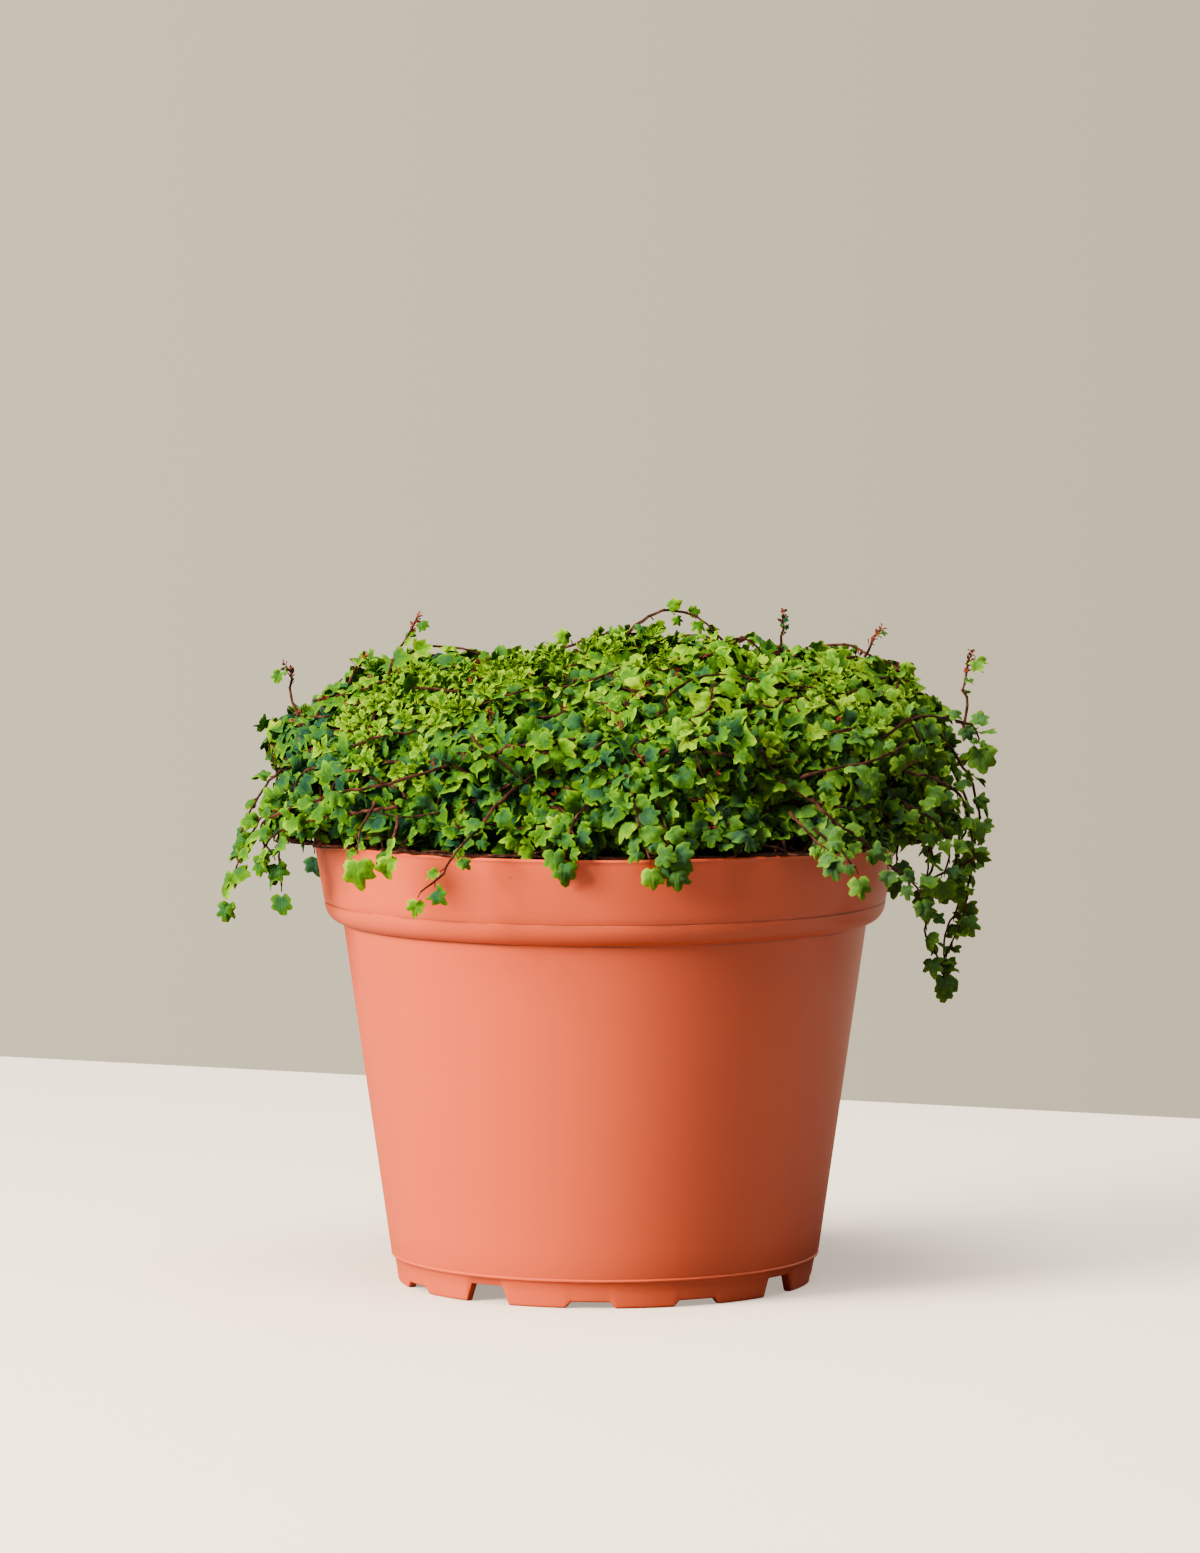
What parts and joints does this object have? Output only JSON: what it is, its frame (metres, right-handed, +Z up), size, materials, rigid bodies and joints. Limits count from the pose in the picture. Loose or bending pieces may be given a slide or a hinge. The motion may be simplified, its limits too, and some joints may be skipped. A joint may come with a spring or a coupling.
{
  "type": "potted string of frogs",
  "caption": "Creeping fig with small oak-shaped leaves in a dense mound, its runners trailing over the lip of a tapered plastic grow pot with a notched foot.",
  "frame": {"origin": "on the pot's axis in the plane its foot ring stands on, which is the centre of the underside of the whole plant's box", "axes": "+Z up along the pot's axis, -Y towards the front, +X to the right, along the plant's widest spread"},
  "size_m": [0.2051, 0.1709, 0.1787],
  "materials": {
    "pot_plastic": "injection-moulded polypropylene in terracotta colour, satin",
    "potting_mix": "damp peat and fine bark, crumbly",
    "bark": "thin reddish-brown bark of woody runners",
    "leaf": "puckered leaf blade, satin, lighter along its margin",
    "leaf_mat": "dense mat of small leaves, from lime to deep green"
  },
  "bodies": {
    "root": {"grow_pot": "pot_plastic", "leaf_01": "leaf", "leaf_02": "leaf", "leaf_03": "leaf", "leaf_04": "leaf", "leaf_05": "leaf", "leaf_06": "leaf", "leaf_07": "leaf", "leaf_08": "leaf", "leaf_09": "leaf", "leaf_10": "leaf", "leaf_11": "leaf", "leaf_12": "leaf", "leaf_13": "leaf", "leaf_14": "leaf", "leaf_15": "leaf", "leaf_16": "leaf", "leaf_17": "leaf", "leaf_18": "leaf", "leaf_19": "leaf", "leaf_20": "leaf", "leaf_21": "leaf", "leaf_mat_crown": "leaf_mat", "leaf_mat_outer_01": "leaf_mat", "leaf_mat_outer_02": "leaf_mat", "leaf_mat_outer_03": "leaf_mat", "leaf_mat_outer_04": "leaf_mat", "leaf_mat_outer_05": "leaf_mat", "leaf_mat_outer_06": "leaf_mat", "leaf_mat_outer_07": "leaf_mat", "leaf_mat_outer_08": "leaf_mat", "leaf_mat_outer_09": "leaf_mat", "leaf_mat_outer_10": "leaf_mat", "leaf_mat_outer_11": "leaf_mat", "leaf_mat_outer_12": "leaf_mat", "leaf_mat_upper_01": "leaf_mat", "leaf_mat_upper_02": "leaf_mat", "leaf_mat_upper_03": "leaf_mat", "leaf_mat_upper_04": "leaf_mat", "leaf_mat_upper_05": "leaf_mat", "leaf_mat_upper_06": "leaf_mat", "potting_mix": "potting_mix", "runner_01": "bark", "runner_02": "bark", "runner_03": "bark", "runner_04": "bark", "runner_05": "bark", "runner_06": "bark", "runner_07": "bark", "runner_08": "bark", "runner_09": "bark", "runner_10": "bark", "runner_11": "bark", "runner_12": "bark", "upright_shoot": "bark", "upright_shoot_leaf": "leaf"}
  },
  "joints": []
}
